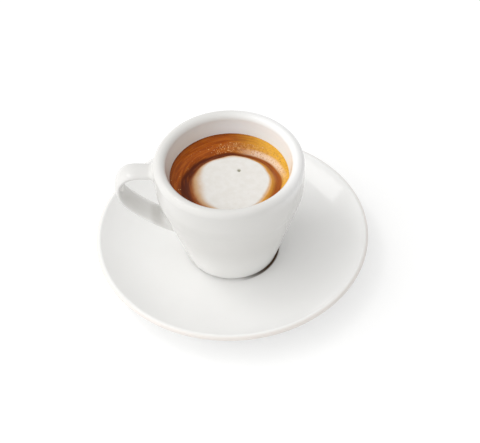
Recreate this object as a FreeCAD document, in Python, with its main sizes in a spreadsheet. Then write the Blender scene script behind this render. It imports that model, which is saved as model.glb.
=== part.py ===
"""Espresso macchiato in its thick porcelain cup on a saucer.

Sub-parts (one solid each): saucer, cup (with its handle), espresso, milk_foam.
The origin is on the axis of the saucer, on the surface that it stands on. The handle points to -X.
"""
import FreeCAD
import Part
import PartDesign
import Sketcher
import math
import os

# Driving dimensions in millimetres, angles in degrees. Heights in the cup are above its foot.
SIZES = [
    ("saucer_radius", 60.0, "outer radius of the saucer"),
    ("saucer_height", 14.7, "height of the saucer's rim above the table"),
    ("well_thickness", 3.6, "wall of the saucer in its flat middle"),
    ("rim_thickness", 2.7, "wall of the saucer at its full round rim"),
    ("well_radius", 25.0, "flat middle of the saucer"),
    ("well_height", 5.0, "top of the flat middle above the table"),
    ("foot_ring_radius", 31.0, "outer radius of the ring that the saucer stands on"),
    ("foot_ring_width", 3.2, "width of that ring at the table"),
    ("foot_ring_taper", 1.2, "how much wider the ring is on each side where it meets the saucer"),
    ("cup_foot_radius", 20.0, "radius of the cup's body at its lower edge"),
    ("cup_foot_round", 0.5, "rounding of that edge"),
    ("stand_inset", 2.0, "how far the low stand under the body is set in from its edge"),
    ("stand_height", 1.0, "height of that stand"),
    ("cup_radius", 32.1, "largest outer radius of the cup"),
    ("cup_height", 54.4, "height of the cup"),
    ("cup_shoulder_drop", 10.8, "how far below the rim the tapered wall has turned upright"),
    ("cup_shoulder_radius", 24.0, "radius of the curve from the taper to the upright wall"),
    ("lip_thickness", 5.3, "wall at the rim, fully rounded on top"),
    ("cavity_floor_height", 5.2, "thickness of the cup's bottom"),
    ("cavity_floor_radius", 17.0, "inner radius of the cup where wall and floor would meet"),
    ("cavity_floor_round", 9.0, "rounding between the inner wall and the floor"),
    ("handle_top_drop", 5.7, "how far the centre line of the upper strap is below the rim"),
    ("handle_reach", 15.3, "how far the outermost centre line stands out from the cup's wall"),
    ("handle_bend_radius", 7.4, "centre line radius of the upper bend"),
    ("handle_heel_radius", 13.5, "centre line radius of the bend into the lower strap"),
    ("handle_heel_angle", 40.0, "turn of that bend"),
    ("handle_sweep_radius", 62.0, "centre line radius of the lower strap"),
    ("handle_root_depth", 4.5, "how far the ends of the centre line lie inside the cup's outer wall"),
    ("handle_thickness", 3.5, "strap thickness"),
    ("handle_top_width", 8.6, "strap width at the upper end"),
    ("handle_low_width", 12.0, "strap width of the lower strap"),
    ("handle_root_round", 2.4, "fillet between handle and cup"),
    ("drink_drop", 9.0, "how far the crema's surface is below the rim"),
    ("drink_gap", 0.1, "clearance between the drink and the cup"),
    ("foam_radius", 16.6, "radius of the milk foam"),
    ("foam_offset_x", 0.6, "foam centre from the cup's axis along X"),
    ("foam_offset_y", -3.8, "foam centre from the cup's axis along Y"),
    ("foam_thickness", 2.0, "thickness of the milk foam"),
    ("foam_rise", 0.3, "how far the foam stands above the crema"),
    ("foam_gap", 0.1, "clearance between the foam and the crema round and under it"),
    ("foam_round", 0.25, "rounding of the foam's upper edge"),
]
SHEET = "Sizes"
HANDLE_STATIONS = 15  # elliptical sections along the handle's centre line
WIDENING_SHARE = 0.6  # share of the handle's centre line along which the strap grows wider
PATH_STEP = 0.05  # millimetres by which the lower strap is lengthened until it reaches its end
SAME_CIRCLE = 0.02  # millimetres within which two circles' radii and heights count as the same
ON_SURFACE = 0.01  # millimetres within which a point counts as lying on a surface
EDGE_SHARES = (0.2, 0.5, 0.8)  # where along an edge it is tested against a surface


def make_sheet(doc):
    """Write the driving dimensions, one row each: name, value, meaning."""
    sheet = doc.addObject("Spreadsheet::Sheet", SHEET)
    for row, (name, value, meaning) in enumerate(SIZES, start=1):
        sheet.set(f"A{row}", name)
        sheet.set(f"B{row}", str(value))
        sheet.set(f"C{row}", meaning)
        sheet.setAlias(f"B{row}", name)
    doc.recompute()
    return sheet


def ref(name):
    """The expression that reads one size."""
    return f"{SHEET}.{name}"


def new_body(doc, label):
    body = doc.addObject("PartDesign::Body", label)
    body.Label = label
    return body


def origin_plane(body, role):
    return next(item for item in body.Origin.OriginFeatures if item.Role == role)


def new_sketch(body, name, role="XZ_Plane"):
    sketch = body.newObject("Sketcher::SketchObject", name)
    sketch.AttachmentSupport = (origin_plane(body, role), "")
    sketch.MapMode = "FlatFace"
    return sketch


def evaluate(sheet, expression):
    """The present value of an expression over the sheet."""
    return float(sheet.evalExpression(expression))


def draw_profile(sheet, sketch, corners, arc_radii):
    """Draw a closed outline whose corners and arcs are bound to expressions.

    corners: (x expression, z expression) in order round the outline.
    arc_radii: {index of the corner that an arc starts at: (radius expression, turns left)}.
    """
    points = [FreeCAD.Vector(evaluate(sheet, x), evaluate(sheet, z), 0) for x, z in corners]
    count = len(points)
    for index, start in enumerate(points):
        end = points[(index + 1) % count]
        if index in arc_radii:
            radius_expression, turns_left = arc_radii[index]
            sketch.addGeometry(arc_between(start, end, evaluate(sheet, radius_expression), turns_left))
        else:
            sketch.addGeometry(Part.LineSegment(start, end))
    start_vertex = [edge_start(sketch, index, point) for index, point in enumerate(points)]
    for index in range(count):
        following = (index + 1) % count
        sketch.addConstraint(Sketcher.Constraint(
            "Coincident", index, 3 - start_vertex[index], following, start_vertex[following]))
    for index, (x, z) in enumerate(corners):
        for kind, expression, value in (("DistanceX", x, points[index].x), ("DistanceY", z, points[index].y)):
            row = sketch.addConstraint(Sketcher.Constraint(
                kind, -1, 1, index, start_vertex[index], value))
            sketch.setExpression(f"Constraints[{row}]", expression)
    for index, (radius_expression, _) in arc_radii.items():
        value = evaluate(sheet, radius_expression)
        row = sketch.addConstraint(Sketcher.Constraint("Radius", index, value))
        sketch.setExpression(f"Constraints[{row}]", radius_expression)


def arc_between(start, end, radius, turns_left):
    """The shorter arc from start to end."""
    chord = end - start
    middle = (start + end) * 0.5
    left = FreeCAD.Vector(-chord.y, chord.x, 0).normalize()
    if not turns_left:
        left = left * -1
    height = math.sqrt(max(radius ** 2 - (chord.Length / 2) ** 2, 0.0))
    through = middle + left * (height - radius)
    return Part.Arc(start, through, end) if turns_left else Part.Arc(end, through, start)


def edge_start(sketch, index, point):
    """1 or 2: the end of a sketch edge that lies on the point."""
    geometry = sketch.Geometry[index]
    near_start = (geometry.StartPoint - point).Length
    near_end = (geometry.EndPoint - point).Length
    return 1 if near_start <= near_end else 2


def revolve(body, name, sketch, kind="PartDesign::Revolution"):
    feature = body.newObject(kind, name)
    feature.Profile = sketch
    feature.ReferenceAxis = (sketch, ["V_Axis"])
    feature.Angle = 360
    sketch.Visibility = False
    body.Document.recompute()
    return feature


def circles_at(feature, radius, height):
    """Names of the feature's circular edges round the body's axis at a radius and a height."""
    names = []
    for number, edge in enumerate(feature.Shape.Edges, start=1):
        if not isinstance(edge.Curve, Part.Circle):
            continue
        same_radius = abs(edge.Curve.Radius - radius) < SAME_CIRCLE
        if same_radius and abs(edge.Curve.Center.z - height) < SAME_CIRCLE:
            names.append(f"Edge{number}")
    return names


def fillet(body, name, base, edge_names, expression):
    feature = body.newObject("PartDesign::Fillet", name)
    feature.Base = (base, edge_names)
    feature.setExpression("Radius", expression)
    body.Document.recompute()
    return feature


# ---- saucer ----

def make_saucer(doc, sheet):
    """A plain dish on a low foot ring: a flat middle, one even upward curve and a full round rim.

    The upper and lower surfaces are arcs that leave the flat middle level and end tangent to the
    rounding of the rim.
    """
    body = new_body(doc, "saucer")
    well, floor, wall = ref("well_radius"), ref("well_height"), ref("well_thickness")
    ring, width, taper = ref("foot_ring_radius"), ref("foot_ring_width"), ref("foot_ring_taper")
    half = f"({ref('rim_thickness')} / 2)"
    rim_x, rim_z = f"({ref('saucer_radius')} - {half})", f"({ref('saucer_height')} - {half})"
    run = f"({rim_x} - {well})"
    underside = f"({floor} - {wall})"
    rise, under_rise = f"({rim_z} - {floor})", f"({rim_z} - {underside})"
    upper = f"(({run} ^ 2 + {rise} ^ 2 - {half} ^ 2) / (2 * ({rise} + {half})))"
    lower = f"(({run} ^ 2 + {under_rise} ^ 2 - {half} ^ 2) / (2 * ({under_rise} - {half})))"
    root = f"({ring} + {taper})"
    root_height = f"({underside} + {lower} - sqrt({lower} ^ 2 - ({root} - {well}) ^ 2))"
    upper_reach, lower_reach = f"({upper} + {half})", f"({lower} - {half})"
    corners = [
        ("0", floor),
        (well, floor),
        (f"{rim_x} - {half} * {run} / {upper_reach}",
         f"{rim_z} + {half} * ({upper} - {rise}) / {upper_reach}"),
        (f"{rim_x} + {half}", rim_z),
        (f"{rim_x} + {half} * {run} / {lower_reach}",
         f"{rim_z} - {half} * ({lower} - {under_rise}) / {lower_reach}"),
        (root, root_height),
        (ring, "0"),
        (f"{ring} - {width}", "0"),
        (f"{ring} - {width} - {taper}", underside),
        ("0", underside),
    ]
    arcs = {1: (upper, True), 2: (half, False), 3: (half, False), 4: (lower, False)}
    sketch = new_sketch(body, "SaucerProfile")
    draw_profile(sheet, sketch, corners, arcs)
    revolve(body, "SaucerDish", sketch)
    return body


# ---- cup ----

def mouth_radius():
    """Inner radius where the rounding of the lip begins."""
    return f"({ref('cup_radius')} - {ref('lip_thickness')})"


def lip_height():
    """Height of the centre of the lip's rounding above the foot."""
    return f"({ref('cup_height')} - {ref('lip_thickness')} / 2)"


def cavity_radius(height):
    """Inner radius of the cup's straight, tapered wall at a height above the foot."""
    low, foot = ref("cavity_floor_radius"), ref("cavity_floor_height")
    slope = f"(({mouth_radius()} - {low}) / ({lip_height()} - {foot}))"
    return f"({low} + ({height} - {foot}) * {slope})"


def shoulder_height():
    """Height above the foot where the tapered wall has turned upright."""
    return f"({ref('cup_height')} - {ref('cup_shoulder_drop')})"


def drink_level():
    """Height of the crema's surface above the foot."""
    return f"({ref('cup_height')} - {ref('drink_drop')})"


def taper_angle(sheet):
    """Angle in degrees from the vertical of the outer wall between foot and shoulder.

    The wall leaves the body's lower edge and runs tangent into the shoulder's curve.
    """
    bend = evaluate(sheet, ref("cup_shoulder_radius"))
    across = evaluate(sheet, f"{ref('cup_radius')} - {ref('cup_foot_radius')}") - bend
    up = evaluate(sheet, f"{shoulder_height()} - {ref('stand_height')}")
    distance = math.hypot(across, up)
    return math.degrees(math.asin(bend / distance) + math.atan2(across, up))


def make_cup(doc, sheet):
    """A thick tapered cup with an upright upper wall, a full round lip and a strap handle."""
    body = new_body(doc, "cup")
    body.setExpression("Placement.Base.z", ref("well_height"))
    radius, bend = ref("cup_radius"), ref("cup_shoulder_radius")
    shoulder, foot = shoulder_height(), ref("cup_foot_radius")
    lip = f"({ref('lip_thickness')} / 2)"
    angle = f"({taper_angle(sheet):.9f} deg)"
    stand, edge = f"({foot} - {ref('stand_inset')})", ref("stand_height")
    corners = [
        ("0", "0"),
        (stand, "0"),
        (stand, edge),
        (foot, edge),
        (f"{radius} - {bend} * (1 - cos({angle}))", f"{shoulder} - {bend} * sin({angle})"),
        (radius, shoulder),
        (radius, lip_height()),
        (f"{radius} - {lip}", ref("cup_height")),
        ("0", ref("cup_height")),
    ]
    arcs = {4: (bend, True), 6: (lip, True)}
    sketch = new_sketch(body, "CupProfile")
    draw_profile(sheet, sketch, corners, arcs)
    blank = revolve(body, "CupBlank", sketch)
    foot_edge = circles_at(blank, evaluate(sheet, foot), evaluate(sheet, edge))
    rounded = fillet(body, "CupFootEdge", blank, foot_edge, ref("cup_foot_round"))
    handle = add_handle(body, sheet)
    roots = junction_edges(handle, rounded)
    fillet(body, "HandleRoots", handle, roots, ref("handle_root_round"))
    cavity = cut_cavity(body, sheet)
    floor_edge = circles_at(cavity, evaluate(sheet, ref("cavity_floor_radius")),
                            evaluate(sheet, ref("cavity_floor_height")))
    fillet(body, "CavityFloor", cavity, floor_edge, ref("cavity_floor_round"))
    return body


def cut_cavity(body, sheet):
    """Hollow the cup: tapered wall, flat floor and the inner half of the lip's rounding."""
    lip = f"({ref('lip_thickness')} / 2)"
    floor = ref("cavity_floor_height")
    above = f"({ref('cup_height')} + {ref('lip_thickness')})"
    corners = [
        ("0", floor),
        (ref("cavity_floor_radius"), floor),
        (mouth_radius(), lip_height()),
        (f"{mouth_radius()} + {lip}", ref("cup_height")),
        (f"{mouth_radius()} + {lip}", above),
        ("0", above),
    ]
    sketch = new_sketch(body, "CavityProfile")
    draw_profile(sheet, sketch, corners, {2: (lip, False)})
    return revolve(body, "Cavity", sketch, "PartDesign::Groove")


def handle_path(sheet):
    """Stretches of the handle's centre line: length, start x, start z, start heading, bending.

    Seen from the front, x is the distance from the cup's axis towards the handle's side. The line
    runs straight out below the lip, turns down, bends back and sweeps in through the lower wall.
    Headings are radians downwards from level, and bending is one over the radius.
    """
    def size(name):
        return evaluate(sheet, ref(name))

    depth, bend = size("handle_root_depth"), size("handle_bend_radius")
    top = size("cup_height") - size("handle_top_drop")
    start = size("cup_radius") - depth
    bend_start = size("cup_radius") + size("handle_reach") - bend
    heel_turn = math.radians(size("handle_heel_angle"))
    stretches = [(bend_start - start, start, top, 0.0, 0.0)]
    stretches.append((bend * math.pi / 2, bend_start, top, 0.0, 1.0 / bend))
    heel_start = stretch_end(stretches[-1])
    stretches.append((size("handle_heel_radius") * heel_turn, *heel_start, 1.0 / size("handle_heel_radius")))
    sweep_start, bending = stretch_end(stretches[-1]), 1.0 / size("handle_sweep_radius")
    slope = math.tan(math.radians(taper_angle(sheet)))
    length = 0.0
    x, z, _ = sweep_start
    while x > size("cup_foot_radius") + (z - size("stand_height")) * slope - depth:
        length += PATH_STEP
        x, z, _ = stretch_point((length, *sweep_start, bending), length)
    stretches.append((length, *sweep_start, bending))
    return stretches


def stretch_point(stretch, distance):
    """Point (x, z) and heading at a distance along one stretch."""
    _, x, z, heading, bending = stretch
    if bending == 0.0:
        return x + distance * math.cos(heading), z - distance * math.sin(heading), heading
    turned = heading + distance * bending
    centre_x = x - math.sin(heading) / bending
    centre_z = z - math.cos(heading) / bending
    return centre_x + math.sin(turned) / bending, centre_z + math.cos(turned) / bending, turned


def stretch_end(stretch):
    return stretch_point(stretch, stretch[0])


def handle_point(stretches, distance):
    """Point (x, z) and heading at a distance along the whole centre line."""
    for stretch in stretches[:-1]:
        if distance <= stretch[0]:
            return stretch_point(stretch, distance)
        distance -= stretch[0]
    return stretch_point(stretches[-1], distance)


def add_handle(body, sheet):
    """Loft elliptical sections along the centre line, growing wider until the lower strap."""
    stretches = handle_path(sheet)
    total = sum(stretch[0] for stretch in stretches)
    sections = []
    for station in range(HANDLE_STATIONS):
        share = station / (HANDLE_STATIONS - 1)
        x, z, heading = handle_point(stretches, share * total)
        sketch = new_sketch(body, f"HandleSection{station:02d}", "XY_Plane")
        across = FreeCAD.Vector(0, 1, 0)
        outward = FreeCAD.Vector(-math.sin(heading), 0, math.cos(heading))
        along = across.cross(outward)
        turn = FreeCAD.Rotation(across, outward, along, "XYZ")
        sketch.AttachmentOffset = FreeCAD.Placement(FreeCAD.Vector(-x, 0, z), turn)
        top, low = ref("handle_top_width"), ref("handle_low_width")
        half_width = f"({top} + ({low} - {top}) * {widening(share):.6f}) / 2"
        draw_ellipse(sheet, sketch, half_width, f"{ref('handle_thickness')} / 2")
        sections.append(sketch)
    loft = body.newObject("PartDesign::AdditiveLoft", "Handle")
    loft.Profile = sections[0]
    loft.Sections = sections[1:]
    loft.Ruled = False
    body.Document.recompute()
    return loft


def widening(share):
    """How much of the strap's widening is done at a share of the centre line, easing in and out."""
    done = min(share / WIDENING_SHARE, 1.0)
    return done * done * (3 - 2 * done)


def draw_ellipse(sheet, sketch, half_width, half_height):
    """An ellipse about the sketch's origin, wider than high, bound to two expressions."""
    wide, high = evaluate(sheet, half_width), evaluate(sheet, half_height)
    centre = FreeCAD.Vector(0, 0, 0)
    sketch.addGeometry(Part.Ellipse(FreeCAD.Vector(wide, 0, 0), FreeCAD.Vector(0, high, 0), centre))
    sketch.exposeInternalGeometry(0)
    sketch.addConstraint(Sketcher.Constraint("Coincident", 0, 3, -1, 1))
    sketch.addConstraint(Sketcher.Constraint("Horizontal", 1))
    for line, expression, value in ((1, half_width, wide), (2, half_height, high)):
        row = sketch.addConstraint(Sketcher.Constraint("Distance", line, 2 * value))
        sketch.setExpression(f"Constraints[{row}]", f"2 * ({expression})")


def junction_edges(joined, before):
    """Names of the edges that the joined feature has where its handle leaves the older surface."""
    older = before.Shape.Shells[0]
    names = []
    for number, edge in enumerate(joined.Shape.Edges, start=1):
        samples = [edge.valueAt(edge.FirstParameter + share * (edge.LastParameter - edge.FirstParameter))
                   for share in EDGE_SHARES]
        on_wall = all(older.distToShape(Part.Vertex(point))[0] < ON_SURFACE for point in samples)
        around_axis = isinstance(edge.Curve, (Part.Circle, Part.Line))
        if on_wall and not around_axis:
            names.append(f"Edge{number}")
    return names


# ---- drink ----

def make_espresso(doc, sheet):
    """The drink fills the cavity up to the crema, with a seat for the foam in its surface."""
    body = new_body(doc, "espresso")
    body.setExpression("Placement.Base.z", ref("well_height"))
    gap, level = ref("drink_gap"), drink_level()
    floor = f"({ref('cavity_floor_height')} + {gap})"
    floor_radius = f"({cavity_radius(floor)} - {gap})"
    corners = [
        ("0", floor),
        (floor_radius, floor),
        (f"{cavity_radius(level)} - {gap}", level),
        ("0", level),
    ]
    sketch = new_sketch(body, "DrinkProfile")
    draw_profile(sheet, sketch, corners, {})
    drink = revolve(body, "Drink", sketch)
    bottom = circles_at(drink, evaluate(sheet, floor_radius), evaluate(sheet, floor))
    fillet(body, "DrinkBottom", drink, bottom, ref("cavity_floor_round"))
    seat_sketch = foam_circle(body, sheet, "FoamSeatCircle", level, ref("foam_gap"))
    seat = body.newObject("PartDesign::Pocket", "FoamSeat")
    seat.Profile = seat_sketch
    depth = f"({ref('foam_thickness')} - {ref('foam_rise')} + {ref('foam_gap')})"
    seat.setExpression("Length", depth)
    doc.recompute()
    return body


def foam_circle(body, sheet, name, height, gap):
    """The foam's outline, widened by a gap, in a sketch at a height in the cup."""
    sketch = new_sketch(body, name, "XY_Plane")
    sketch.setExpression("AttachmentOffset.Base.z", height)
    centre = FreeCAD.Vector(evaluate(sheet, ref("foam_offset_x")), evaluate(sheet, ref("foam_offset_y")), 0)
    radius = f"{ref('foam_radius')} + {gap}"
    sketch.addGeometry(Part.Circle(centre, FreeCAD.Vector(0, 0, 1), evaluate(sheet, radius)))
    for kind, value, expression in (("DistanceX", centre.x, ref("foam_offset_x")),
                                    ("DistanceY", centre.y, ref("foam_offset_y"))):
        row = sketch.addConstraint(Sketcher.Constraint(kind, -1, 1, 0, 3, value))
        sketch.setExpression(f"Constraints[{row}]", expression)
    row = sketch.addConstraint(Sketcher.Constraint("Radius", 0, evaluate(sheet, radius)))
    sketch.setExpression(f"Constraints[{row}]", radius)
    return sketch


def make_milk_foam(doc, sheet):
    """A disc of milk foam set into the crema, a little proud of it."""
    body = new_body(doc, "milk_foam")
    body.setExpression("Placement.Base.z", ref("well_height"))
    top = f"({drink_level()} + {ref('foam_rise')})"
    sketch = foam_circle(body, sheet, "FoamCircle", f"{top} - {ref('foam_thickness')}", "0")
    disc = body.newObject("PartDesign::Pad", "FoamDisc")
    disc.Profile = sketch
    disc.setExpression("Length", ref("foam_thickness"))
    doc.recompute()
    upper = circles_at(disc, evaluate(sheet, ref("foam_radius")), evaluate(sheet, top))
    fillet(body, "FoamEdge", disc, upper, ref("foam_round"))
    return body


# ---- output ----

def check_document(doc):
    """Stop on any object that failed to compute."""
    for item in doc.Objects:
        if {"Invalid", "Error"} & set(item.State):
            raise RuntimeError(f"{item.Name} failed: {item.State}")


def check_shape(body):
    shape = body.Shape
    if shape.isNull() or not shape.isValid() or len(shape.Solids) != 1:
        raise RuntimeError(f"{body.Label} is not one valid solid")


def main():
    doc = FreeCAD.newDocument("EspressoMacchiato")
    sheet = make_sheet(doc)
    makers = (make_saucer, make_cup, make_espresso, make_milk_foam)
    bodies = [make(doc, sheet) for make in makers]
    doc.recompute()
    check_document(doc)
    for body in bodies:
        check_shape(body)
    os.makedirs("parts", exist_ok=True)
    for body in bodies:
        body.Shape.exportStep(os.path.join("parts", f"{body.Label}.step"))
        print(f"{body.Label}: {body.Shape.Volume:.1f} mm3, box {body.Shape.BoundBox}")


main()
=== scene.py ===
"""Espresso macchiato: glazed porcelain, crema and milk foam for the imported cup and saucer.

Lengths are in metres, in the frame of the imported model: +Z up, the cup's handle towards -X.
"""
import math
import random

import bpy
from mathutils import Matrix, Vector, noise


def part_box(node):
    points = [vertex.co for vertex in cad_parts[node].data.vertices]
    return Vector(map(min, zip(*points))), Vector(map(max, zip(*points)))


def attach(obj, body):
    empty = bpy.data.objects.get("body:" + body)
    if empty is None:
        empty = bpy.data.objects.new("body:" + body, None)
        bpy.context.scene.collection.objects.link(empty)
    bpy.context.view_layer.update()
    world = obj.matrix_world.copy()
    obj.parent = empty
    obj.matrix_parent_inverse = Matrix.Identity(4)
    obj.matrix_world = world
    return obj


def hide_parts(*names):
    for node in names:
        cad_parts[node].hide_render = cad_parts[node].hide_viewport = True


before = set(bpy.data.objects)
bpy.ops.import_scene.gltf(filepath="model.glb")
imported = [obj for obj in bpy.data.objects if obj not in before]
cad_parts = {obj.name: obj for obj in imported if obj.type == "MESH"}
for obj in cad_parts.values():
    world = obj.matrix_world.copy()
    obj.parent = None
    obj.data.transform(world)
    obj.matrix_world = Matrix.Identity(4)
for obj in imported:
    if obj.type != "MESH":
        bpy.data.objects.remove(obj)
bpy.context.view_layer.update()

ROOT = "root"
MM = 0.001

# Camera: how it looks down at the saucer, turned a little about the saucer's axis.
CAMERA_ELEVATION = math.radians(47.4)
CAMERA_ROLL = math.radians(-2.5)
CAMERA_TURN = math.radians(1.8)
CAMERA_DISTANCE = 0.7306
CAMERA_LENS = 120.0
SENSOR_WIDTH = 36.0
CLIP_NEAR, CLIP_FAR = 0.01, 20.0
CAMERA_TARGET = Vector((0.0037, 0.0193, 0.0))

# Light: one softbox, high on the handle's side, in a soft glow that is brighter on that side.
SOFTBOX_AIM = Vector((0.042, 0.033, 0.012))  # the place on the saucer that mirrors it
SOFTBOX_FACING = Vector((-0.58, 0.21, 0.78))
SOFTBOX_BACK_END = Vector((-0.617, 0.366, 0.710))  # direction of its lower end from that place
SOFTBOX_LONG_AXIS = Vector((0.347, -0.806, 0.475))
SOFTBOX_DISTANCE = 1.2
SOFTBOX_WIDTH, SOFTBOX_LENGTH = 0.24, 0.72
SOFTBOX_RADIANCE = 3.3
WORLD_STRENGTH = 0.62
GLOW_STRENGTH = 1.3  # how much brighter the world is in the middle of the glow
GLOW_POWER = 3.0  # how fast the glow fades away from its middle
GLOW_DIRECTION = Vector((-0.75, -0.2, 0.6))

# Floor: what the camera sees is lifted by a glow, and what the light meets is plain.
FLOOR_COLOUR = (0.9, 0.9, 0.9)
FLOOR_ROUGHNESS = 0.9
FLOOR_SEEN_COLOUR = (0.55, 0.55, 0.545)
FLOOR_GLOW = 0.485
FLOOR_HALF = 3.0

# Drink: its surface is described by polar outlines about the middle of the foam.
FOAM_LOW, FOAM_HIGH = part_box("milk_foam")
DRINK_LOW, DRINK_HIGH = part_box("espresso")
LEVEL = DRINK_HIGH.z
FOAM_MIDDLE = ((FOAM_LOW.x + FOAM_HIGH.x) / 2, (FOAM_LOW.y + FOAM_HIGH.y) / 2)
FOAM_REACH = (FOAM_HIGH.x - FOAM_LOW.x) / 2
WALL_OVERLAP = 0.35 * MM  # how far the drink's mesh reaches into the porcelain
GROOVE_DROP = 0.45 * MM  # the dark ring round the foam is a groove in the crema, deepest on the right
GROOVE_EXTRA_DROP = 1.15 * MM
GROOVE_LEFT_DROP = 0.3 * MM
DEEP_SIDE, DEEP_SPREAD = 35, 85  # where the groove is deepest, and how far that reaches, in degrees
GROOVE_WIDTH, GROOVE_EXTRA_WIDTH = 3.0, 1.3  # from the bottom of the groove outwards, in millimetres
GROOVE_LEAST_GAP = 1.5  # from the foam's edge to the bottom of the groove, in millimetres
SWELL_SIZE, SWELL_HEIGHT = 4.5 * MM, 0.05  # slow waves in the crema, height in millimetres
RIPPLE_SIZE, RIPPLE_HEIGHT = 1.1 * MM, 0.02
CALM_AT_WALL = 1.5 * MM  # the waves fade out this near the wall
FOAM_SWELL_SIZE, FOAM_SWELL_HEIGHT = 5.0 * MM, 0.05 * MM
FOAM_EDGE_DIP = 0.25 * MM  # how far the foam's edge ends below the crema beside it
SAME_LEVEL = 0.01 * MM  # vertices this near the drink's level belong to its surface
CREMA_DROP = 0.35 * MM  # the crema lies this far under its edge at the wall
MENISCUS_REACH = 0.6 * MM
FOAM_RISE = 0.15 * MM  # how far the foam stands above the drink's level
FOAM_TUCK = 0.6 * MM  # how far the foam's edge runs on below the crema's surface
PIT_PLACE = (4.2 * MM, 2.6 * MM)  # the one open bubble in the foam
PIT_RADIUS = 0.95 * MM
PIT_DEPTH = 0.5 * MM
BUBBLE_COUNT = 1000
BUBBLE_SIZES = (0.09 * MM, 0.27 * MM)
BUBBLE_SEED = 7
BUBBLE_ZONE = (1.3, 6.5)  # how far outside the groove they lie, in millimetres
BUBBLE_SIDES, BUBBLE_ROWS = 8, 3  # corners round a dome, and rows of them below its top
BUBBLE_STRETCH, BUBBLE_SINK = 0.75, 0.3  # height of a dome and how deep it is sunk, in radii
CREMA_SEGMENTS, CREMA_ROWS = 336, 90
CREMA_START = 0.82  # the crema's surface starts at this share of the foam's radius, under the foam
FOAM_SEGMENTS, FOAM_ROWS = 288, 56

# Porcelain: a pair of lengths is where a tone starts to change and where the change is complete. Many of
# these tones are painted light and shade.
SAUCER_GLAZE = (0.90, 0.897, 0.883)
# Painted light: the cup's glaze is painted lighter low down, where bounce light from the saucer falls,
# and darker higher up, as shade.
CUP_LOW_PAINTED_BOUNCE = (0.89, 0.885, 0.868)
CUP_HIGH_PAINTED_SHADE = (0.745, 0.735, 0.711)
PAINTED_GLAZE_HEIGHTS = (8 * MM, 32 * MM)
CLOUD_COLOUR = (0.66, 0.64, 0.60)
INSIDE_RADII = (27.5 * MM, 29.5 * MM)  # the painted light on the cup's inner wall fades out here
INSIDE_TOP = (53 * MM, 58.8 * MM)
INSIDE_BOTTOM = (35 * MM, 45 * MM)
INSIDE_SIDES = (-22 * MM, 5 * MM)
# Painted light: the inner wall is warm and a little darker on the handle's side, as shade and bounce from
# the crema, and brighter away from it.
INSIDE_LEFT_PAINTED_BOUNCE = (0.81, 0.80, 0.745)
INSIDE_RIGHT_PAINTED_LIGHT = (0.85, 0.885, 0.905)
# Painted highlight: the lip at the back right is painted paler where the softbox's reflection falls.
LIP_HEIGHTS = (52 * MM, 57 * MM)
LIP_DIRECTION = (0.94, 0.34, 0.0)
LIP_SIDES = (4 * MM, 26 * MM)
LIP_PAINTED_HIGHLIGHT = (0.885, 0.88, 0.87)
# Painted shade: the saucer's outermost edge is painted warm and darker, as the shade under its rim.
SAUCER_EDGE_RADII = (58.4 * MM, 59.9 * MM)
SAUCER_EDGE_PAINTED_SHADE = (0.80, 0.72, 0.66)
SAUCER_EDGE_SHADE_SHARE = 0.6
# Painted light: the handle's lower strap is painted lighter, against the upper strap's shadow on it, and
# the upper strap darker, as shade.
HANDLE_RADII = (33 * MM, 36 * MM)
STRAP_HEIGHTS = (22 * MM, 42 * MM)
STRAP_LOW_PAINTED_LIGHT = (0.95, 0.945, 0.93)
STRAP_HIGH_PAINTED_SHADE = (0.745, 0.735, 0.715)
SPECK_COLOUR = (0.66, 0.63, 0.57)
SPECK_SHARE = 0.12
BISCUIT_HEIGHT = 0.2 * MM  # bare porcelain above the lowest point of a piece
BISCUIT_DARK, BISCUIT_PALE = (0.60, 0.57, 0.52), (0.74, 0.71, 0.66)
# Painted shade: the gap under the cup's foot, and the saucer beneath it, are painted dark on the side
# away from the light.
FOOT_SHADE_REACH = 20.3 * MM  # painted shade in the gap round the cup's foot, from the axis
FOOT_SHADE_FADE = 0.8 * MM
FOOT_SHADE_HEIGHTS = (6.0 * MM, 6.15 * MM)
FOOT_SHADE_DIRECTION = (0.99, -0.14, 0.0)
FOOT_SHADE_SIDES = (4 * MM, 18 * MM)
FOOT_SHADE_COLOUR = (0.085, 0.042, 0.016)
DULL_ROUGHNESS = 0.75
GLAZE_SPECULAR = 0.36

# Drink's colours: left is the handle's side, where shade is painted into the drink; right is painted
# lighter, where the light falls.
CREMA_LEFT_PAINTED_SHADE, CREMA_RIGHT_PAINTED_LIGHT = (0.325, 0.056, 0.0005), (0.84, 0.46, 0.05)
CREMA_SIDES = (-3 * MM, 22 * MM)
CELL_SIZE = 0.42 * MM
CELL_COLOUR = (0.70, 0.25, 0.03)
MOTTLE_COLOUR = (0.30, 0.075, 0.004)
DARK_STREAK, PALE_STREAK = (0.17, 0.032, 0.003), (0.60, 0.20, 0.02)
FLECK_COLOUR = (0.09, 0.02, 0.003)
# pale froth, with the softbox's reflection painted into it
FROTH_AND_PAINTED_REFLECTION = (0.82, 0.66, 0.56)
SHELF_COLOUR = (0.52, 0.20, 0.04)
# the dark ring, painted darker still on the handle's side as shade and lighter away from it
RING_LEFT_PAINTED_SHADE, RING_RIGHT_PAINTED_LIGHT = (0.092, 0.013, 0.0003), (0.36, 0.088, 0.010)
RING_STREAK = (0.20, 0.04, 0.002)
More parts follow.
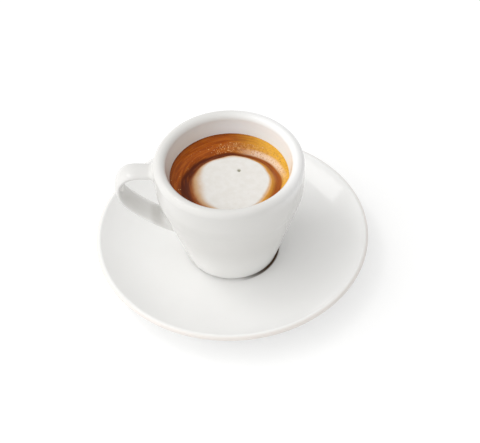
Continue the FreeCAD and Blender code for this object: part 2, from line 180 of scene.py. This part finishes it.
# painted shade where the crema meets the wall, on the handle's side
WALL_EDGE_PAINTED_SHADE = (0.12, 0.028, 0.002)
WALL_EDGE_SHADE_WIDTH = 1.1 * MM
MILKY_LEFT_PAINTED_SHADE, MILKY_RIGHT_PAINTED_LIGHT = (0.56, 0.34, 0.17), (0.82, 0.50, 0.22)  # crema with milk in it, painted darker on the handle's side as shade and lighter away from it
FOAM_GREY, FOAM_WHITE = (0.755, 0.73, 0.685), (0.79, 0.77, 0.735)
PIT_COLOUR = (0.28, 0.27, 0.18)
BUBBLE_DARK, BUBBLE_PALE = (0.42, 0.12, 0.012), (0.80, 0.46, 0.16)
MILK_ROUGHNESS, CREMA_ROUGHNESS = 0.5, 0.11
DRINK_SPECULAR = 0.16
BUBBLE_SPECULAR = 0.5


# ---- outlines and heights of the drink's surface ----

def foam_radius(angle):
    """The foam's edge: a circle with uneven lobes, wider at the front left."""
    lobes = (0.2 - 1.05 * math.sin(angle) + 0.35 * math.sin(2 * angle) + 0.1 * math.cos(2 * angle)
             + 0.14 * math.sin(5 * angle + 0.8) + 0.12 * math.sin(8 * angle + 2.0)
             + 0.06 * math.sin(13 * angle))
    return FOAM_REACH + lobes * MM


def groove_drop(angle):
    """Depth of the groove: deepest on the right, and a little deeper again on the left."""
    deep = GROOVE_EXTRA_DROP * towards(angle, DEEP_SIDE, DEEP_SPREAD)
    return GROOVE_DROP + deep + GROOVE_LEFT_DROP * towards(angle, 180, 80)


def groove_radius(angle):
    """The bottom of the groove: close to the foam at the back, further out at both sides and in front."""
    gap = (2.9 - 1.3 * math.sin(angle) + 0.75 * math.cos(2 * angle) + 0.12 * math.sin(6 * angle + 1.0)
           + 0.9 * towards(angle, 35, 60) - 0.8 * towards(angle, 185, 70) - 0.35 * towards(angle, -5, 60))
    return foam_radius(angle) + max(gap, GROOVE_LEAST_GAP) * MM


def wall_distance(angle, radius):
    """Distance from the foam's middle to a circle of that radius about the cup's axis."""
    along = FOAM_MIDDLE[0] * math.cos(angle) + FOAM_MIDDLE[1] * math.sin(angle)
    square = FOAM_MIDDLE[0] ** 2 + FOAM_MIDDLE[1] ** 2
    return -along + math.sqrt(radius ** 2 - square + along ** 2)


def smooth(low, high, value):
    """0 below low, 1 above high, easing in and out between them."""
    share = min(max((value - low) / (high - low), 0.0), 1.0)
    return share * share * (3 - 2 * share)


def towards(angle, middle, spread):
    """1 in the direction middle, falling to 0 at spread to either side, angles in degrees."""
    off = abs((math.degrees(angle) - middle + 180) % 360 - 180)
    return 1 - smooth(0, spread, off)


def point_at(distance, angle):
    return FOAM_MIDDLE[0] + distance * math.cos(angle), FOAM_MIDDLE[1] + distance * math.sin(angle)


def surface_height(distance, angle):
    """Height of the crema's surface, at a distance and direction from the foam's middle."""
    past_groove = distance - groove_radius(angle)
    if past_groove > 0:
        reach = (GROOVE_WIDTH + GROOVE_EXTRA_WIDTH * towards(angle, DEEP_SIDE, DEEP_SPREAD)) * MM
    else:
        reach = groove_radius(angle) - foam_radius(angle) + 0.4 * MM
    height = LEVEL - CREMA_DROP - groove_drop(angle) * (1 - smooth(0, reach, abs(past_groove)))
    x, y = point_at(distance, angle)
    to_wall = max(DRINK_TOP_RADIUS - math.hypot(x, y), 0.0)
    height += CREMA_DROP * math.exp(-to_wall / MENISCUS_REACH)
    swell = noise.noise(Vector((x, y, 0.0)) / SWELL_SIZE)
    ripple = noise.noise(Vector((x, y, 0.01)) / RIPPLE_SIZE)
    waves = (SWELL_HEIGHT * swell + RIPPLE_HEIGHT * ripple) * MM
    return height + waves * smooth(0, CALM_AT_WALL, to_wall)


def foam_height(distance, angle):
    """Height of the foam's top: nearly flat, with a rounded edge that dips under the crema."""
    edge = foam_radius(angle)
    x, y = point_at(distance, angle)
    swell = noise.noise(Vector((x, y, 0.0)) / FOAM_SWELL_SIZE)
    rounded = smooth(edge - 1.0 * MM, edge + FOAM_TUCK, distance)
    height = LEVEL + FOAM_RISE + FOAM_SWELL_HEIGHT * swell - PIT_DEPTH * pit_share(distance, angle)
    dip = (FOAM_RISE + CREMA_DROP + FOAM_EDGE_DIP) * rounded
    return height - dip - 0.5 * groove_drop(angle) * rounded ** 3


def drink_profile():
    """(height, radius) of the drink's CAD solid from its floor up to its surface."""
    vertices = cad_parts["espresso"].data.vertices
    widest = {}
    for vertex in vertices:
        height = round(vertex.co.z / MM, 2) * MM
        if vertex.co.z < LEVEL - SAME_LEVEL:
            widest[height] = max(widest.get(height, 0.0), math.hypot(vertex.co.x, vertex.co.y))
    top = max(math.hypot(vertex.co.x, vertex.co.y) for vertex in vertices
              if vertex.co.z > LEVEL - SAME_LEVEL)
    rows = [(height, radius) for height, radius in sorted(widest.items())
            if radius > FOAM_REACH * 0.5 and height < LEVEL - 3 * MM]
    return rows, top


DRINK_ROWS, DRINK_TOP_RADIUS = drink_profile()


# ---- meshes ----

def add_mesh(name, vertices, faces, material, smooth_faces=True):
    mesh = bpy.data.meshes.new(name)
    mesh.from_pydata(vertices, [], faces)
    mesh.polygons.foreach_set("use_smooth", [smooth_faces] * len(mesh.polygons))
    mesh.materials.append(material)
    mesh.validate()
    piece = bpy.data.objects.new(name, mesh)
    bpy.context.collection.objects.link(piece)
    return piece


def polar_solid(rings, segments):
    """Vertices and faces of a closed solid: rings from the middle of its top to the middle of its bottom.

    rings: functions of the angle that give a point. The first and last ring are single points.
    """
    vertices = [rings[0](0.0)]
    for ring in rings[1:-1]:
        vertices += [ring(2 * math.pi * step / segments) for step in range(segments)]
    vertices.append(rings[-1](0.0))
    faces = []
    for step in range(segments):
        following = (step + 1) % segments
        faces.append((0, 1 + step, 1 + following))
        for row in range(len(rings) - 3):
            inner, outer = 1 + row * segments, 1 + (row + 1) * segments
            faces.append((inner + step, outer + step, outer + following, inner + following))
        last = 1 + (len(rings) - 3) * segments
        faces.append((last + step, len(vertices) - 1, last + following))
    return vertices, faces


def set_attribute(piece, name, value_at):
    """A number for each vertex, from its place in polar coordinates about the foam's middle."""
    mesh = piece.data
    values = []
    for vertex in mesh.vertices:
        x, y = vertex.co.x - FOAM_MIDDLE[0], vertex.co.y - FOAM_MIDDLE[1]
        values.append(value_at(math.hypot(x, y), math.atan2(y, x)))
    mesh.attributes.new(name, "FLOAT", "POINT").data.foreach_set("value", values)


def milk_share(distance, angle):
    """1 on the milk foam, 0 on the crema. The change is softest on the handle's side; there and at the
    back it also paints the shade that falls on the foam's edge.
    """
    inner = (0.8 + 8.2 * towards(angle, 195, 80) + 1.4 * towards(angle, -20, 60)
             + 2.0 * towards(angle, 90, 70))
    outer = 0.5 + 1.0 * towards(angle, 195, 75) + 0.5 * towards(angle, -20, 60)
    edge = foam_radius(angle)
    return 1 - smooth(edge - inner * MM, edge + outer * MM, distance)


def ring_share(distance, angle):
    """1 in the dark ring, 0 away from it. The ring is wide on the handle's side."""
    past_groove = (distance - groove_radius(angle)) / MM
    inner = 1.3 + 2.3 * towards(angle, 190, 80) + 1.2 * towards(angle, 0, 80)
    outer = 0.9 + 1.1 * towards(angle, 165, 80) + 0.3 * towards(angle, 10, 60)
    spread = outer if past_groove > 0 else inner
    return math.exp(-(past_groove / spread) ** 2)


def pit_share(distance, angle):
    """1 in the open bubble of the foam, 0 outside it."""
    x, y = point_at(distance, angle)
    return 1 - smooth(0.3 * PIT_RADIUS, 1.15 * PIT_RADIUS, math.hypot(x - PIT_PLACE[0], y - PIT_PLACE[1]))


def shelf_share(distance, angle):
    """1 between the foam and the groove, on the side away from the handle."""
    inside_groove = (groove_radius(angle) - distance) / MM
    return smooth(0.2, 1.2, inside_groove) * towards(angle, 0, 110)


def froth_and_reflection_share(distance, angle):
    """1 in the pale frothy patch outside the groove at the back right, where the softbox's reflection is
    painted in as well, 0 away from it.
    """
    past_groove = (distance - groove_radius(angle)) / MM
    return min(1.6 * towards(angle, 41, 45), 1.0) * math.exp(-((past_groove - 2.0) / 1.4) ** 4)


def stir_share(distance, angle):
    """Streaks that run round the cup, as the drink was poured, from 0 to 1."""
    around = Vector((3 * math.cos(angle), 3 * math.sin(angle), distance / (0.75 * MM)))
    return min(max(0.5 + 0.8 * noise.noise(around) + 0.3 * noise.noise(around * 2.3), 0.0), 1.0)


def dress_drink(piece):
    set_attribute(piece, "milk", milk_share)
    set_attribute(piece, "ring", ring_share)
    set_attribute(piece, "pit", pit_share)
    set_attribute(piece, "froth_and_reflection", froth_and_reflection_share)
    set_attribute(piece, "shelf", shelf_share)
    set_attribute(piece, "stir", stir_share)


def make_crema(material):
    """The drink up to the crema's surface, with the dark groove, reaching just into the cup's wall."""
    def surface_ring(share):
        def ring(angle):
            start = CREMA_START * foam_radius(angle)
            end = wall_distance(angle, DRINK_TOP_RADIUS + WALL_OVERLAP)
            distance = start + share * (end - start)
            x, y = point_at(distance, angle)
            sunk = (1 - smooth(start, foam_radius(angle) - 0.2 * MM, distance)) * 0.9 * MM
            return x, y, surface_height(distance, angle) - sunk
        return ring

    def wall_ring(height, radius):
        def ring(angle):
            distance = wall_distance(angle, radius + WALL_OVERLAP)
            return (*point_at(distance, angle), height)
        return ring

    def middle(height):
        return lambda angle: (*FOAM_MIDDLE, height)

    rings = [middle(LEVEL - 2 * MM)]
    rings += [surface_ring(row / CREMA_ROWS) for row in range(CREMA_ROWS + 1)]
    rings += [wall_ring(height, radius) for height, radius in reversed(DRINK_ROWS)]
    rings.append(middle(DRINK_LOW.z))
    vertices, faces = polar_solid(rings, CREMA_SEGMENTS)
    piece = add_mesh("crema", vertices, faces, material)
    dress_drink(piece)
    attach(piece, ROOT)
    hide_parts("espresso")
    return piece


def make_foam(material):
    """The spot of milk foam, nearly flat, with its edge tucked under the crema."""
    def top_ring(share):
        def ring(angle):
            distance = share * (foam_radius(angle) + FOAM_TUCK)
            return (*point_at(distance, angle), foam_height(distance, angle))
        return ring

    def under_ring(share, height):
        def ring(angle):
            return (*point_at(share * foam_radius(angle), angle), height)
        return ring

    rings = [top_ring(0.0)]
    rings += [top_ring(row / FOAM_ROWS) for row in range(1, FOAM_ROWS + 1)]
    rings += [under_ring(0.97, FOAM_LOW.z + 0.4 * MM), under_ring(0.9, FOAM_LOW.z)]
    rings.append(under_ring(0.0, FOAM_LOW.z))
    vertices, faces = polar_solid(rings, FOAM_SEGMENTS)
    piece = add_mesh("foam_spot", vertices, faces, material)
    dress_drink(piece)
    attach(piece, ROOT)
    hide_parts("milk_foam")
    return piece


def bubble_dome(centre, radius, first):
    """Vertices and faces of one closed dome. Its vertices are numbered from first."""
    x, y, base = centre
    vertices = []
    for row in range(BUBBLE_ROWS):
        tilt = math.pi / 2 * row / BUBBLE_ROWS
        for step in range(BUBBLE_SIDES):
            turn = 2 * math.pi * step / BUBBLE_SIDES
            vertices.append((x + radius * math.cos(tilt) * math.cos(turn),
                             y + radius * math.cos(tilt) * math.sin(turn),
                             base + radius * (BUBBLE_STRETCH * math.sin(tilt) - BUBBLE_SINK)))
    vertices.append((x, y, base + radius * (BUBBLE_STRETCH - BUBBLE_SINK)))
    faces = [tuple(reversed(range(first, first + BUBBLE_SIDES)))]
    for step in range(BUBBLE_SIDES):
        following = (step + 1) % BUBBLE_SIDES
        for row in range(BUBBLE_ROWS - 1):
            low, high = first + row * BUBBLE_SIDES, first + (row + 1) * BUBBLE_SIDES
            faces.append((low + step, low + following, high + following, high + step))
        last = first + (BUBBLE_ROWS - 1) * BUBBLE_SIDES
        faces.append((last + step, last + following, first + BUBBLE_ROWS * BUBBLE_SIDES))
    return vertices, faces


def make_bubbles(material):
    """Small bubbles on the crema, one mesh of domes, densest outside the groove at the back."""
    chance = random.Random(BUBBLE_SEED)
    smallest, largest = BUBBLE_SIZES
    vertices, faces = [], []
    made = 0
    while made < BUBBLE_COUNT:
        angle = math.radians(chance.uniform(0, 360))
        likely = 0.01 + 0.99 * towards(angle, 78, 42) + 0.25 * towards(angle, 20, 60)
        if chance.random() > likely:
            continue
        distance = groove_radius(angle) + chance.uniform(*BUBBLE_ZONE) * MM
        radius = smallest + (largest - smallest) * chance.random() ** 3
        if distance + radius > wall_distance(angle, DRINK_TOP_RADIUS):
            continue
        centre = (*point_at(distance, angle), surface_height(distance, angle))
        dome_vertices, dome_faces = bubble_dome(centre, radius, len(vertices))
        vertices += dome_vertices
        faces += dome_faces
        made += 1
    piece = add_mesh("crema_bubbles", vertices, faces, material)
    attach(piece, ROOT)
    return piece


# ---- materials ----

class Shader:
    """A node material with short ways to add nodes to it."""

    def __init__(self, name):
        self.material = bpy.data.materials.new(name)
        self.material.use_nodes = True
        self.tree = self.material.node_tree
        self.principled = next(node for node in self.tree.nodes if node.type == "BSDF_PRINCIPLED")
        self.place = self.node("ShaderNodeTexCoord").outputs["Object"]

    def node(self, kind, **settings):
        node = self.tree.nodes.new(kind)
        for key, value in settings.items():
            setattr(node, key, value)
        return node

    def feed(self, target, source):
        """Links an output to an input, or writes a number or colour on it."""
        if isinstance(source, bpy.types.NodeSocket):
            self.tree.links.new(source, target)
        elif hasattr(source, "__len__") and len(source) == 3 and target.type == "RGBA":
            target.default_value = (*source, 1.0)
        else:
            target.default_value = source

    def set(self, name, source):
        self.feed(self.principled.inputs[name], source)

    def math(self, operation, first, second=0.0, third=0.0):
        node = self.node("ShaderNodeMath", operation=operation)
        for socket, source in zip(node.inputs, (first, second, third)):
            self.feed(socket, source)
        return node.outputs[0]

    def times(self, first, second):
        return self.math("MULTIPLY", first, second)

    def remap(self, value, low, high, to_low=0.0, to_high=1.0):
        """The value, taken from low..high to to_low..to_high, easing in and out."""
        node = self.node("ShaderNodeMapRange", interpolation_type="SMOOTHSTEP")
        for name, source in (("Value", value), ("From Min", low), ("From Max", high),
                             ("To Min", to_low), ("To Max", to_high)):
            self.feed(node.inputs[name], source)
        return node.outputs["Result"]

    def mix(self, share, first, second):
        node = self.node("ShaderNodeMix", data_type="RGBA")
        self.feed(node.inputs[0], share)
        self.feed(node.inputs[6], first)
        self.feed(node.inputs[7], second)
        return node.outputs[2]

    def grain(self, size, detail=2.0):
        """Noise whose features are about size metres across, from 0 to 1."""
        node = self.node("ShaderNodeTexNoise")
        self.feed(node.inputs["Vector"], self.place)
        node.inputs["Scale"].default_value = 1.0 / size
        node.inputs["Detail"].default_value = detail
        return node.outputs["Fac"]

    def cells(self, size):
        """Distance to the middle of the nearest bubble, for bubbles about size metres across."""
        node = self.node("ShaderNodeTexVoronoi")
        self.feed(node.inputs["Vector"], self.place)
        node.inputs["Scale"].default_value = 1.0 / size
        return node.outputs["Distance"]

    def height_of(self):
        node = self.node("ShaderNodeSeparateXYZ")
        self.feed(node.inputs[0], self.place)
        return node.outputs["Z"]

    def along(self, direction):
        """How far a point lies along a direction, in metres."""
        node = self.node("ShaderNodeVectorMath", operation="DOT_PRODUCT")
        self.feed(node.inputs[0], self.place)
        node.inputs[1].default_value = direction
        return node.outputs["Value"]

    def from_axis(self):
        """Distance from the cup's axis, in metres."""
        flat = self.node("ShaderNodeVectorMath", operation="MULTIPLY")
        self.feed(flat.inputs[0], self.place)
        flat.inputs[1].default_value = (1.0, 1.0, 0.0)
        node = self.node("ShaderNodeVectorMath", operation="LENGTH")
        self.feed(node.inputs[0], flat.outputs[0])
        return node.outputs["Value"]

    def attribute(self, name):
        return self.node("ShaderNodeAttribute", attribute_name=name).outputs["Fac"]

    def bump(self, height, strength, distance):
        node = self.node("ShaderNodeBump")
        self.feed(node.inputs["Height"], height)
        node.inputs["Strength"].default_value = strength
        node.inputs["Distance"].default_value = distance
        self.feed(self.principled.inputs["Normal"], node.outputs["Normal"])


def porcelain(name, foot_height, low_painted_glaze, high_painted_glaze, painted_strap_share=0.0):
    """White glaze over porcelain, with light and shade painted into its tone in places, and bare biscuit
    up to foot_height, where the piece stands.
    """
    shader = Shader(name)
    height = shader.height_of()
    from_axis = shader.from_axis()
    # painted light low down and painted shade higher up; the saucer's two tones are the same
    glaze = shader.mix(shader.remap(height, *PAINTED_GLAZE_HEIGHTS), low_painted_glaze, high_painted_glaze)
    cloud = shader.remap(shader.grain(18 * MM, 3.0), 0.35, 0.65, 0.96, 1.0)
    glaze = shader.mix(cloud, CLOUD_COLOUR, glaze)
    glaze = inner_wall_painted_light(shader, glaze, height, from_axis)
    # painted highlight on the lip at the back right
    lip_highlight_share = shader.times(shader.remap(height, *LIP_HEIGHTS),
                       shader.remap(shader.along(LIP_DIRECTION), *LIP_SIDES))
    glaze = shader.mix(lip_highlight_share, glaze, LIP_PAINTED_HIGHLIGHT)
    # painted shade along the saucer's outer edge
    edge = shader.remap(from_axis, *SAUCER_EDGE_RADII, 0.0, SAUCER_EDGE_SHADE_SHARE)
    glaze = shader.mix(edge, glaze, SAUCER_EDGE_PAINTED_SHADE)
    # painted light on the lower strap and painted shade on the upper strap
    handle = shader.remap(from_axis, *HANDLE_RADII, 0.0, painted_strap_share)
    strap_painted_light = shader.mix(shader.remap(height, *STRAP_HEIGHTS), STRAP_LOW_PAINTED_LIGHT, STRAP_HIGH_PAINTED_SHADE)
    glaze = shader.mix(handle, glaze, strap_painted_light)
    speck = shader.remap(shader.grain(1.1 * MM, 1.0), 0.74, 0.8)
    glaze = shader.mix(shader.times(speck, SPECK_SHARE), glaze, SPECK_COLOUR)
    bare = shader.remap(height, foot_height, foot_height + 0.15 * MM, 1.0, 0.0)
    glaze = shader.mix(bare, glaze, shader.mix(shader.grain(0.25 * MM, 1.0), BISCUIT_DARK, BISCUIT_PALE))
    # painted shade in the gap under the cup's foot
    foot_shade = painted_foot_shade(shader, height, from_axis)
    shader.set("Base Color", shader.mix(foot_shade, glaze, FOOT_SHADE_COLOUR))
    gloss = shader.remap(shader.grain(9 * MM, 2.0), 0.3, 0.7, 0.05, 0.1)
    dull = shader.times(shader.math("MAXIMUM", bare, foot_shade), DULL_ROUGHNESS)
    shader.set("Roughness", shader.math("MAXIMUM", gloss, dull))
    shader.set("Specular IOR Level", GLAZE_SPECULAR)
    shader.bump(shader.grain(3.5 * MM, 2.0), 0.25, 0.02 * MM)
    return shader.material


def inner_wall_painted_light(shader, glaze, height, from_axis):
    """The glaze, with light painted on the cup's inner wall above the drink: warm, as bounce from the
    crema, on the handle's side, and brighter away from it, where the light falls.
    """
    inside = shader.times(shader.remap(from_axis, *INSIDE_RADII, 1.0, 0.0),
                          shader.remap(height, *INSIDE_TOP, 1.0, 0.0))
    inside = shader.times(inside, shader.remap(height, *INSIDE_BOTTOM))
    wall = shader.mix(shader.remap(shader.along((1.0, 0.0, 0.0)), *INSIDE_SIDES),
                      INSIDE_LEFT_PAINTED_BOUNCE, INSIDE_RIGHT_PAINTED_LIGHT)
    return shader.mix(inside, glaze, wall)


def painted_foot_shade(shader, height, from_axis):
    """1 where shade is painted in the gap round the cup's foot, on the side away from the handle and the
    light.
    """
    side = shader.remap(shader.along(FOOT_SHADE_DIRECTION), *FOOT_SHADE_SIDES)
    ring = shader.remap(from_axis, FOOT_SHADE_REACH, FOOT_SHADE_REACH + FOOT_SHADE_FADE, 1.0, 0.0)
    under = shader.remap(height, *FOOT_SHADE_HEIGHTS, 1.0, 0.0)
    return shader.times(shader.times(side, under), ring)


def crema_colour(shader, right, stir, froth_and_reflection, shelf):
    """The crema without its dark ring: painted shade on the handle's side and painted light away from it,
    cells, mottling, streaks, flecks, a frothy patch with the softbox's reflection painted in, and shelf.
    """
    # painted shade on the handle's side, painted light away from it
    crema = shader.mix(right, CREMA_LEFT_PAINTED_SHADE, CREMA_RIGHT_PAINTED_LIGHT)
    fine = shader.remap(shader.cells(CELL_SIZE), 0.15, 0.6)
    crema = shader.mix(shader.times(fine, 0.12), crema, CELL_COLOUR)
    mottle = shader.remap(shader.grain(0.8 * MM, 3.0), 0.4, 0.65)
    crema = shader.mix(shader.times(mottle, 0.22), crema, MOTTLE_COLOUR)
    streak = shader.times(shader.remap(stir, 0.45, 0.85), shader.remap(right, 0.0, 0.8, 0.42, 0.12))
    crema = shader.mix(streak, crema, DARK_STREAK)
    pale = shader.times(shader.remap(stir, 0.5, 0.1), shader.remap(right, 0.0, 0.8, 0.2, 0.1))
    crema = shader.mix(pale, crema, PALE_STREAK)
    fleck = shader.remap(shader.grain(0.9 * MM, 2.0), 0.70, 0.78)
    fleck_share = shader.math("SUBTRACT", 0.5, shader.times(right, 0.5))
    crema = shader.mix(shader.times(fleck, fleck_share), crema, FLECK_COLOUR)
    # pale froth with the softbox's reflection painted in
    froth_reflection_mix = shader.times(froth_and_reflection, shader.remap(fine, 0.0, 1.0, 0.8, 0.6))
    crema = shader.mix(froth_reflection_mix, crema, FROTH_AND_PAINTED_REFLECTION)
    return shader.mix(shader.times(shelf, 0.55), crema, SHELF_COLOUR)


def ring_colour(shader, right, stir):
    """The dark ring, painted darker still on the handle's side as shade and lighter away from it, with
    paler streaks in it.
    """
    dark = shader.mix(right, RING_LEFT_PAINTED_SHADE, RING_RIGHT_PAINTED_LIGHT)
    return shader.mix(shader.times(shader.remap(stir, 0.45, 0.1), 0.6), dark, RING_STREAK)


def drink_surface(name):
    """Crema and milk foam in one set of colours, so that they run into each other at the edge."""
    shader = Shader(name)
    milk, ring, pit, froth_and_reflection, shelf, stir = (
        shader.attribute(word) for word in ("milk", "ring", "pit", "froth_and_reflection", "shelf", "stir"))
    wobble = shader.math("SUBTRACT", shader.grain(1.6 * MM, 3.0), 0.5)
    mixed = shader.times(milk, shader.math("SUBTRACT", 1.0, milk))
    milk = shader.math("ADD", milk, shader.times(wobble, shader.times(0.8, mixed)))
    across = shader.math("ADD", shader.along((1.0, 0.0, 0.0)), shader.times(wobble, 5 * MM))
    # right: from the painted shade on the handle's side to the painted light away from it
    right = shader.remap(across, *CREMA_SIDES)
    crema = crema_colour(shader, right, stir, froth_and_reflection, shelf)
    crema = shader.mix(shader.remap(ring, 0.02, 0.9), crema, ring_colour(shader, right, stir))
    # painted shade along the wall, on the handle's side
    at_wall = shader.remap(shader.from_axis(), DRINK_TOP_RADIUS - WALL_EDGE_SHADE_WIDTH, DRINK_TOP_RADIUS)
    wall_edge_shade = shader.times(at_wall, shader.remap(right, 0.0, 0.7, 0.55, 0.0))
    crema = shader.mix(wall_edge_shade, crema, WALL_EDGE_PAINTED_SHADE)
    milky = shader.mix(right, MILKY_LEFT_PAINTED_SHADE, MILKY_RIGHT_PAINTED_LIGHT)
    tan = shader.mix(shader.remap(milk, 0.0, 0.3), crema, milky)
    foam = shader.mix(shader.remap(shader.grain(2.5 * MM, 3.0), 0.3, 0.7), FOAM_GREY, FOAM_WHITE)
    colour = shader.mix(shader.remap(milk, 0.15, 0.95), tan, foam)
    shader.set("Base Color", shader.mix(pit, colour, PIT_COLOUR))
    shader.set("Roughness", shader.remap(milk, 0.2, 0.9, CREMA_ROUGHNESS, MILK_ROUGHNESS))
    shader.set("Specular IOR Level", DRINK_SPECULAR)
    shader.bump(shader.cells(CELL_SIZE), 0.12, 0.03 * MM)
    return shader.material


def bubble_film(name):
    """The thin golden skin of a bubble."""
    shader = Shader(name)
    shader.set("Base Color", shader.mix(shader.remap(shader.grain(0.9 * MM, 2.0), 0.35, 0.65),
                                        BUBBLE_DARK, BUBBLE_PALE))
    shader.set("Roughness", shader.remap(shader.grain(0.5 * MM, 1.0), 0.3, 0.7, 0.08, 0.2))
    shader.set("Specular IOR Level", BUBBLE_SPECULAR)
    shader.bump(shader.grain(0.1 * MM, 1.0), 0.1, 0.01 * MM)
    return shader.material


def dress(node, material):
    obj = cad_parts[node]
    obj.data.materials.clear()
    obj.data.materials.append(material)


# ---- floor, light and camera ----

def add_floor():
    """A pale floor that looks white to the camera and keeps the saucer's soft shadow."""
    shader = Shader("floor_white")
    shader.set("Base Color", FLOOR_COLOUR)
    shader.set("Roughness", FLOOR_ROUGHNESS)
    shader.set("Specular IOR Level", 0.0)
    tree = shader.tree
    seen = shader.node("ShaderNodeLightPath")
    direct = shader.math("MAXIMUM", seen.outputs["Is Camera Ray"], seen.outputs["Is Glossy Ray"])
    pale = shader.node("ShaderNodeBsdfDiffuse")
    shader.feed(pale.inputs["Color"], FLOOR_SEEN_COLOUR)
    glow = shader.node("ShaderNodeEmission")
    glow.inputs["Strength"].default_value = FLOOR_GLOW
    lifted = shader.node("ShaderNodeAddShader")
    tree.links.new(pale.outputs[0], lifted.inputs[0])
    tree.links.new(glow.outputs[0], lifted.inputs[1])
    chosen = shader.node("ShaderNodeMixShader")
    tree.links.new(direct, chosen.inputs[0])
    tree.links.new(shader.principled.outputs[0], chosen.inputs[1])
    tree.links.new(lifted.outputs[0], chosen.inputs[2])
    output = next(node for node in tree.nodes if node.type == "OUTPUT_MATERIAL")
    tree.links.new(chosen.outputs[0], output.inputs["Surface"])
    corners = [(-FLOOR_HALF, -FLOOR_HALF, 0.0), (FLOOR_HALF, -FLOOR_HALF, 0.0),
               (FLOOR_HALF, FLOOR_HALF, 0.0), (-FLOOR_HALF, FLOOR_HALF, 0.0)]
    add_mesh("floor", corners, [(0, 1, 2, 3)], shader.material, smooth_faces=False)


def light_scene():
    scene = bpy.context.scene
    scene.view_settings.view_transform = "Standard"
    world = bpy.data.worlds.new("world")
    world.use_nodes = True
    tree = world.node_tree
    background = tree.nodes["Background"]
    background.inputs["Color"].default_value = (1.0, 1.0, 1.0, 1.0)
    facing = tree.nodes.new("ShaderNodeVectorMath")
    facing.operation = "DOT_PRODUCT"
    facing.inputs[1].default_value = GLOW_DIRECTION.normalized()
    tree.links.new(tree.nodes.new("ShaderNodeTexCoord").outputs["Generated"], facing.inputs[0])
    lit_side = world_math(tree, "MAXIMUM", facing.outputs["Value"], 0.0)
    glow = world_math(tree, "POWER", lit_side, GLOW_POWER)
    strength = world_math(tree, "MULTIPLY_ADD", glow, GLOW_STRENGTH, WORLD_STRENGTH)
    seen = tree.nodes.new("ShaderNodeMix")
    seen.inputs["B"].default_value = 1.0
    path = tree.nodes.new("ShaderNodeLightPath")
    tree.links.new(path.outputs["Is Camera Ray"], seen.inputs["Factor"])
    tree.links.new(strength, seen.inputs["A"])
    tree.links.new(seen.outputs["Result"], background.inputs["Strength"])
    scene.world = world
    add_softbox()


def world_math(tree, operation, source, *values):
    node = tree.nodes.new("ShaderNodeMath")
    node.operation = operation
    tree.links.new(source, node.inputs[0])
    for socket, value in zip(node.inputs[1:], values):
        socket.default_value = value
    return node.outputs[0]


def add_softbox():
    """A rectangle that starts at its back end's direction and runs forward over the handle's side."""
    data = bpy.data.lights.new("softbox", "AREA")
    data.shape = "RECTANGLE"
    data.size, data.size_y = SOFTBOX_WIDTH, SOFTBOX_LENGTH
    data.energy = math.pi * SOFTBOX_WIDTH * SOFTBOX_LENGTH * SOFTBOX_RADIANCE
    facing = SOFTBOX_FACING.normalized()
    long_axis = (SOFTBOX_LONG_AXIS - facing * SOFTBOX_LONG_AXIS.dot(facing)).normalized()
    short_axis = long_axis.cross(facing)
    turn = Matrix((short_axis, long_axis, facing)).transposed().to_4x4()
    back_end = SOFTBOX_AIM + SOFTBOX_BACK_END * SOFTBOX_DISTANCE
    light = bpy.data.objects.new("softbox", data)
    bpy.context.collection.objects.link(light)
    light.matrix_world = Matrix.Translation(back_end + long_axis * SOFTBOX_LENGTH / 2) @ turn


def add_camera():
    """A long lens above the front of the saucer."""
    data = bpy.data.cameras.new("camera")
    data.lens = CAMERA_LENS
    data.sensor_fit = "HORIZONTAL"
    data.sensor_width = SENSOR_WIDTH
    data.clip_start = CLIP_NEAR
    data.clip_end = CLIP_FAR
    camera = bpy.data.objects.new("camera", data)
    bpy.context.collection.objects.link(camera)
    away = Vector((0.0, -math.cos(CAMERA_ELEVATION), math.sin(CAMERA_ELEVATION)))
    tilt = Matrix.Rotation(math.pi / 2 - CAMERA_ELEVATION, 4, "X") @ Matrix.Rotation(CAMERA_ROLL, 4, "Z")
    place = Matrix.Translation(CAMERA_TARGET + away * CAMERA_DISTANCE) @ tilt
    camera.matrix_world = Matrix.Rotation(CAMERA_TURN, 4, "Z") @ place
    bpy.context.scene.camera = camera


dress("saucer", porcelain("saucer_glaze", BISCUIT_HEIGHT, SAUCER_GLAZE, SAUCER_GLAZE))
dress("cup", porcelain("cup_glaze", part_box("cup")[0].z + BISCUIT_HEIGHT,
                       CUP_LOW_PAINTED_BOUNCE, CUP_HIGH_PAINTED_SHADE, painted_strap_share=1.0))
make_crema(drink_surface("crema_surface"))
make_foam(drink_surface("foam_surface"))
make_bubbles(bubble_film("bubble_film"))
add_floor()
light_scene()
add_camera()
